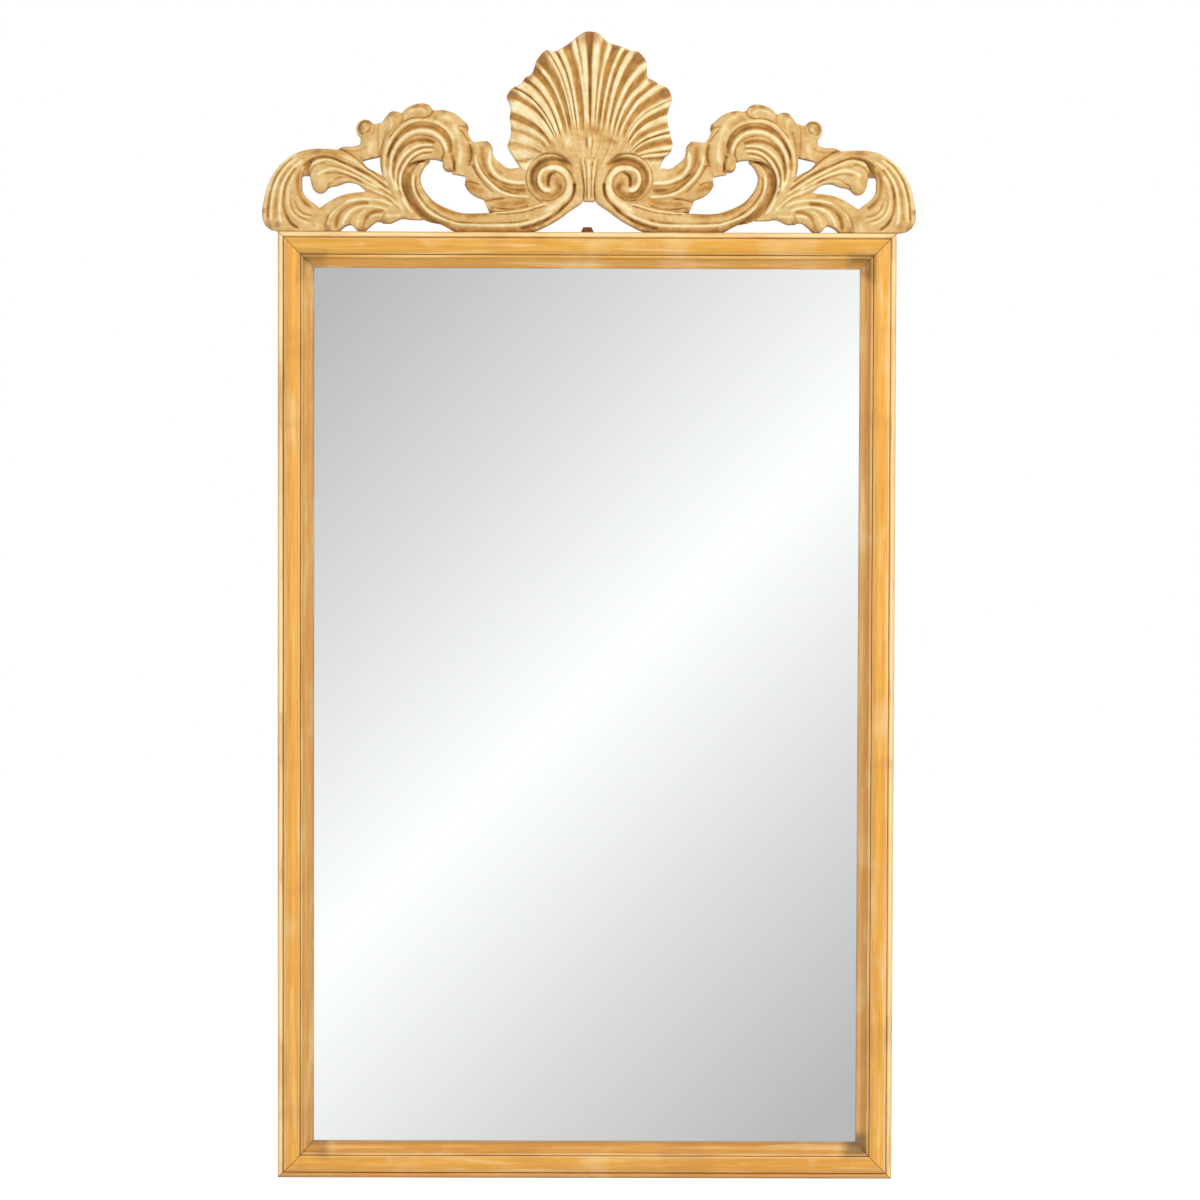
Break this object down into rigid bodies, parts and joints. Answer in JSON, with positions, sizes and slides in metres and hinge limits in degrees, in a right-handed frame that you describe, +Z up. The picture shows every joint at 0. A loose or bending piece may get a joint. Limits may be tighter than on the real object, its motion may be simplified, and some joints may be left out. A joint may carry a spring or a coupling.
{
  "type": "wall mirror",
  "caption": "Tall rectangular wall mirror in a mitred moulded pine frame with an inner slip, a pierced carved shell-and-scroll crest on top and hanging hardware on the back.",
  "frame": {"origin": "on the wall plane, level with the round end of the hanger plate's keyhole, on the centre line", "axes": "+X to the viewer's right, +Z up, front of the mirror faces -Y, +Y towards the wall"},
  "size_m": [0.714, 0.036, 1.251],
  "materials": {
    "moulding_pine": "honey pine, satin wax over lime, cream on the bead and high edges",
    "slip_pine": "darker honey pine, satin wax",
    "limed_pine_carving": "carved pine, limed cream on the ridges with a brown glaze in the hollows",
    "silvered_glass": "polished, silvered behind",
    "backing_sheet": "soft grey-brown board",
    "plywood": "unfinished birch plywood",
    "block_rubber": "matt",
    "zinc_steel": "zinc-plated, slightly dulled",
    "bronzed_steel": "reddish-brown bronzed lacquer",
    "bumper_rubber": "matt",
    "beech_dowel": "unfinished beech"
  },
  "bodies": {
    "root": {"rail_top": "moulding_pine", "rail_bottom": "moulding_pine", "stile_left": "moulding_pine", "stile_right": "moulding_pine", "slip_top": "slip_pine", "slip_bottom": "slip_pine", "slip_left": "slip_pine", "slip_right": "slip_pine", "mitre_keys": "slip_pine", "mirror_plate": "silvered_glass", "soft_sheet": "backing_sheet", "back_board": "plywood", "setting_blocks": "block_rubber", "button_screws": "zinc_steel", "ring_strap_left": "zinc_steel", "ring_strap_right": "zinc_steel", "ring_screws": "zinc_steel", "corner_plate_1": "zinc_steel", "corner_plate_2": "zinc_steel", "corner_plate_3": "zinc_steel", "corner_plate_4": "zinc_steel", "corner_screws": "zinc_steel", "hanger_plate": "bronzed_steel", "hanger_screws": "zinc_steel", "bumper_left": "bumper_rubber", "bumper_right": "bumper_rubber", "crest_shell": "limed_pine_carving", "crest_clasp": "limed_pine_carving", "crest_scroll_left": "limed_pine_carving", "crest_scroll_right": "limed_pine_carving", "crest_acanthus_left": "limed_pine_carving", "crest_acanthus_right": "limed_pine_carving", "crest_spray_left": "limed_pine_carving", "crest_spray_right": "limed_pine_carving", "crest_strap_left": "zinc_steel", "crest_strap_right": "zinc_steel", "crest_strap_screws": "zinc_steel", "crest_dowels": "beech_dowel"},
    "button_1": {"turn_button_1": "zinc_steel"},
    "button_2": {"turn_button_2": "zinc_steel"},
    "button_3": {"turn_button_3": "zinc_steel"},
    "button_4": {"turn_button_4": "zinc_steel"},
    "button_5": {"turn_button_5": "zinc_steel"},
    "button_6": {"turn_button_6": "zinc_steel"},
    "button_7": {"turn_button_7": "zinc_steel"},
    "button_8": {"turn_button_8": "zinc_steel"},
    "ring_left": {"hanging_ring_left": "zinc_steel"},
    "ring_right": {"hanging_ring_right": "zinc_steel"}
  },
  "joints": [
    {"name": "button_1_turn", "type": "hinge", "parent": "root", "child": "button_1", "pos_m": [-0.165, -0.0057, -0.00125], "axis": [0, 1, 0], "continuous": true},
    {"name": "button_2_turn", "type": "hinge", "parent": "root", "child": "button_2", "pos_m": [0.165, -0.0057, -0.00125], "axis": [0, 1, 0], "continuous": true},
    {"name": "button_3_turn", "type": "hinge", "parent": "root", "child": "button_3", "pos_m": [0.31475, -0.0057, -0.1965], "axis": [0, 1, 0], "continuous": true},
    {"name": "button_4_turn", "type": "hinge", "parent": "root", "child": "button_4", "pos_m": [0.31475, -0.0057, -0.7965], "axis": [0, 1, 0], "continuous": true},
    {"name": "button_5_turn", "type": "hinge", "parent": "root", "child": "button_5", "pos_m": [-0.165, -0.0057, -0.99175], "axis": [0, 1, 0], "continuous": true},
    {"name": "button_6_turn", "type": "hinge", "parent": "root", "child": "button_6", "pos_m": [0.165, -0.0057, -0.99175], "axis": [0, 1, 0], "continuous": true},
    {"name": "button_7_turn", "type": "hinge", "parent": "root", "child": "button_7", "pos_m": [-0.31475, -0.0057, -0.7965], "axis": [0, 1, 0], "continuous": true},
    {"name": "button_8_turn", "type": "hinge", "parent": "root", "child": "button_8", "pos_m": [-0.31475, -0.0057, -0.1965], "axis": [0, 1, 0], "continuous": true},
    {"name": "ring_left_swing", "type": "hinge", "parent": "root", "child": "ring_left", "pos_m": [-0.323, -0.0034, -0.27], "axis": [1, 0, 0], "range_deg": [0, 180]},
    {"name": "ring_right_swing", "type": "hinge", "parent": "root", "child": "ring_right", "pos_m": [0.323, -0.0034, -0.27], "axis": [1, 0, 0], "range_deg": [0, 180]}
  ]
}
